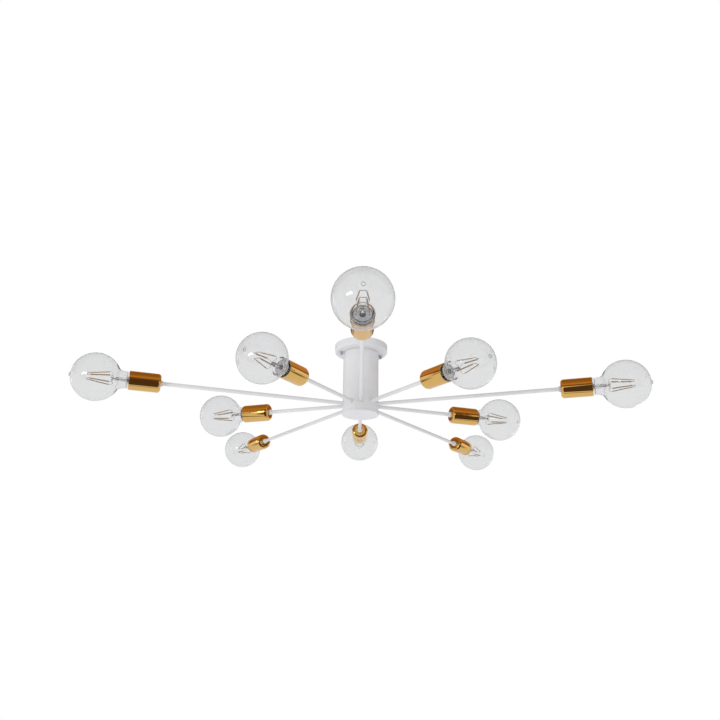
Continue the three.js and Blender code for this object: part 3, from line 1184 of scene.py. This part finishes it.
BLOCK_LOW, BLOCK_HIGH = (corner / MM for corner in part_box("terminal_block"))
BLOCK_CENTRE = centre_of("terminal_block")
POLES = 3
POLE_PITCH = (BLOCK_HIGH.x - BLOCK_LOW.x) / POLES
POLE_PLACES = [BLOCK_LOW.x + (index + 0.5) * POLE_PITCH for index in range(POLES)]
NOTCH_WIDTH = 1.6
PORT_RADIUS = 2.2
WELL_RADIUS = 2.3


def block_body():
    """The moulded block, notched between its poles, with a screw well and a cable port in each."""
    size, centre = BLOCK_HIGH - BLOCK_LOW, BLOCK_CENTRE
    cutters = []
    for index in range(1, POLES):
        notch = (BLOCK_LOW.x + index * POLE_PITCH, centre.y, centre.z + 3.5)
        cutters.append(block(NOTCH_WIDTH, size.y + 2, size.z, notch))
    for x in POLE_PLACES:
        well = bar(WELL_RADIUS, centre.z + 1, BLOCK_HIGH.z + 2, 24)
        cutters.append(moved(well, Matrix.Translation((x, centre.y, 0)) @ UPRIGHT))
        port = bar(PORT_RADIUS, BLOCK_HIGH.y - 4, BLOCK_HIGH.y + 2, 24)
        cutters.append(moved(port, Matrix.Translation((x, 0, centre.z - 2))))
    return softened(drilled(block(*size, centre), *cutters), 0.35, 50)


def block_screws():
    """Slotted clamp screws, one in each well."""
    seat = BLOCK_CENTRE.z + 1.05
    top = seat + 1.8
    screws = []
    for x in POLE_PLACES:
        head = lathe([(0, seat), (2.0, seat, 0.1), (2.0, top, 0.3), (0, top)], 32)
        head = drilled(head, block(0.55, 1.6, 6, (0, top, 0)))
        screws.append(moved(head, Matrix.Translation((x, BLOCK_CENTRE.y, 0)) @ UPRIGHT))
    return joined(screws)


CABLE_RADIUS = 2.8
CABLE_LEVEL = -7.0
CABLE_START = -18.0
CABLE_BEND = 5.0
FAN_LEVEL = -92.0
CORE_RADIUS = 0.9
LEAD_RADIUS = 1.5
LEAD_BEND = 16.0


def cable_sheath():
    """The round cable from beside the terminal block over into the nipple and down the column."""
    path = bent([(0, CABLE_START, CABLE_LEVEL), (0, 0, CABLE_LEVEL), (0, 0, FAN_LEVEL)], CABLE_BEND, 10)
    return swept(path, circle(CABLE_RADIUS, 24))


def cable_core(x):
    """One core from the cable's cut end into its port in the terminal block."""
    level = BLOCK_CENTRE.z - 2
    inside = x / 10
    corners = [
        (inside, CABLE_START + 1.5, CABLE_LEVEL), (inside, CABLE_START - 1.0, CABLE_LEVEL),
        (x, BLOCK_HIGH.y + 2.2, level), (x, BLOCK_HIGH.y - 3, level),
    ]
    return swept(bent(corners, 1.2, 5), circle(CORE_RADIUS, 16))


def arm_leads():
    """A lead into each arm, from the end of the cable to the lampholder."""
    leads = []
    level = Vector((0, 0, ARM_PLANE))
    for arm in ARMS:
        outward = arm["outward"]
        _, end = span_of(f"arm_rod_{arm['label']}", arm)
        start = outward * 0.8 + Vector((0, 0, FAN_LEVEL + 2))
        corners = [start, outward * LEAD_BEND + level, outward * (arm["reach"] + end) + level]
        leads.append(swept(bent(corners, 4, 6), circle(LEAD_RADIUS, 12)))
    return joined(leads)


# ---- Assembly ----
def make_arm_pieces():
    """The pieces of each arm and lamp. Copies share their mesh."""
    fixed = [  # piece, shape, material, slot and the CAD node that it stands for
        ("arm_collar", arm_collar(), "white", "white_paint", None),
        ("gold_cup", gold_cup(), "gold", "gold", "socket_cup"),
        ("holder_body", holder_body(), "black", "black_plastic", "lampholder"),
        ("holder_sleeve", holder_sleeve(), "nickel", "nickel", None),
        ("holder_contact", holder_contact(), "brass", "nickel", None),
        ("holder_ring", holder_ring(), "aluminium", "nickel", None),
    ]
    turning = [
        ("screw_shell", screw_shell(), "nickel", "nickel", "lamp_cap"),
        ("insulator", lamp_insulator(), "black", "black_plastic", None),
        ("foot_contact", lamp_foot(), "nickel", "nickel", None),
        ("glass", lamp_glass(), "glass", "clear_glass", "lamp_globe"),
        ("stem", lamp_stem(), "stem", "clear_glass", None),
        ("heat_shield", heat_shield(), "aluminium", "nickel", None),
        ("filaments", lamp_filaments(), "filament", None, None),
        ("wires", lamp_wires(), "wire", "nickel", None),
    ]
    meshes = {}
    for name, shape, material, _, _ in fixed + turning:
        sharp = GLASS_SHARP if material in ("glass", "stem") else SHARP
        meshes[name] = finished(name, shape, MATERIALS[material], sharp)
    for arm in ARMS:
        label, place = arm["label"], arm["place"]
        tube = finished(f"arm_tube_{label}", arm_tube(arm), MATERIALS["white"])
        add_piece(f"arm_tube_{label}", tube, place, "fixture", f"arm_rod_{label}")
        for name, _, _, slot, node in fixed:
            stood_for = node and f"{node}_{label}"
            add_piece(f"{name}_{label}", meshes[name], place, "fixture", stood_for)
        for name, _, _, slot, node in turning:
            stood_for = node and f"{node}_{label}"
            add_piece(f"lamp_{label}_{name}", meshes[name], place, f"lamp_{label}", stood_for)


def make_centre_pieces():
    """The canopy, the column and what they hold."""
    level = Matrix.Identity(4)
    parts = [  # piece, shape, material, place, slot and the CAD node that it stands for
        ("canopy_shell", canopy_shell(), "white", UPRIGHT, "white_paint", "canopy"),
        ("column_tube", column_tube(), "white", UPRIGHT, "white_paint", "column"),
        ("column_cap", column_cap(), "white", UPRIGHT, "white_paint", "bottom_cap"),
        ("hub_ring", hub_ring(), "zinc", UPRIGHT, "zinc_steel", "arm_hub"),
        ("hollow_nipple", hollow_nipple(), "zinc", UPRIGHT, "zinc_steel", "column_nipple"),
        ("block_body", block_body(), "cream", level, "terminal_plastic", "terminal_block"),
        ("block_screws", block_screws(), "brass", level, None, None),
        ("cable_sheath", cable_sheath(), "sheath", level, "wire_sleeve", "wiring_harness"),
        ("arm_leads", arm_leads(), "sheath", level, "wire_sleeve", None),
    ]
    for x, colour in zip(POLE_PLACES, ("brown", "green", "blue"), strict=True):
        parts.append((f"{colour}_core", cable_core(x), colour, level, "wire_sleeve", None))
    for side, place in NUT_PLACES.items():
        stand = Matrix.Translation((place.x * MM, place.y * MM, 0)) @ UPRIGHT
        parts.append((f"dome_nut_{side}", dome_nut(), "chrome", stand, "chrome", f"canopy_nut_{side}"))
        parts.append((f"stud_{side}", canopy_stud(), "zinc", stand, "zinc_steel", None))
    along = NUT_PLACES["right"] - NUT_PLACES["left"]
    turn = Matrix.Rotation(math.atan2(along.y, along.x), 4, "Z")
    parts.append(("ceiling_plate", ceiling_plate(), "zinc", turn, "zinc_steel", "ceiling_strap"))
    for name, shape, material, place, slot, node in parts:
        add_piece(name, finished(name, shape, MATERIALS[material]), place, "fixture", node)


bpy.context.scene.view_settings.view_transform = "Standard"
make_camera()
make_world()
make_floor(pale_floor())
make_light("key_left", (-1.70, -2.00, -0.15), 0.95, 0.40, 9)
make_light("rim_left", (-2.10, 0.90, 0.30), 0.12, 0.90, 0.8)
make_light("rim_right", (1.60, 1.70, -0.30), 0.12, 0.90, 0.8)

MATERIALS = {
    "white": white_paint(),
    "gold": gold(),
    "black": black_plastic(),
    "nickel": nickel(),
    "chrome": chrome(),
    "zinc": zinc_steel(),
    "brass": brass(),
    "wire": wire_metal(),
    "filament": filament_coat(),
    "glass": blown_glass("clear_glass", (0.87, 0.872, 0.875)),
    "stem": blown_glass("stem_glass", (0.98, 0.98, 0.98)),
    "aluminium": aluminium(),
    "cream": terminal_plastic(),
    "sheath": sleeve("white_sleeve", (0.74, 0.74, 0.73), (0.80, 0.80, 0.79)),
    "brown": sleeve("brown_sleeve", (0.10, 0.045, 0.02), (0.14, 0.06, 0.03)),
    "green": sleeve("green_sleeve", (0.05, 0.20, 0.04), (0.08, 0.27, 0.06)),
    "blue": sleeve("blue_sleeve", (0.02, 0.08, 0.30), (0.03, 0.12, 0.38)),
}
make_arm_pieces()
make_centre_pieces()
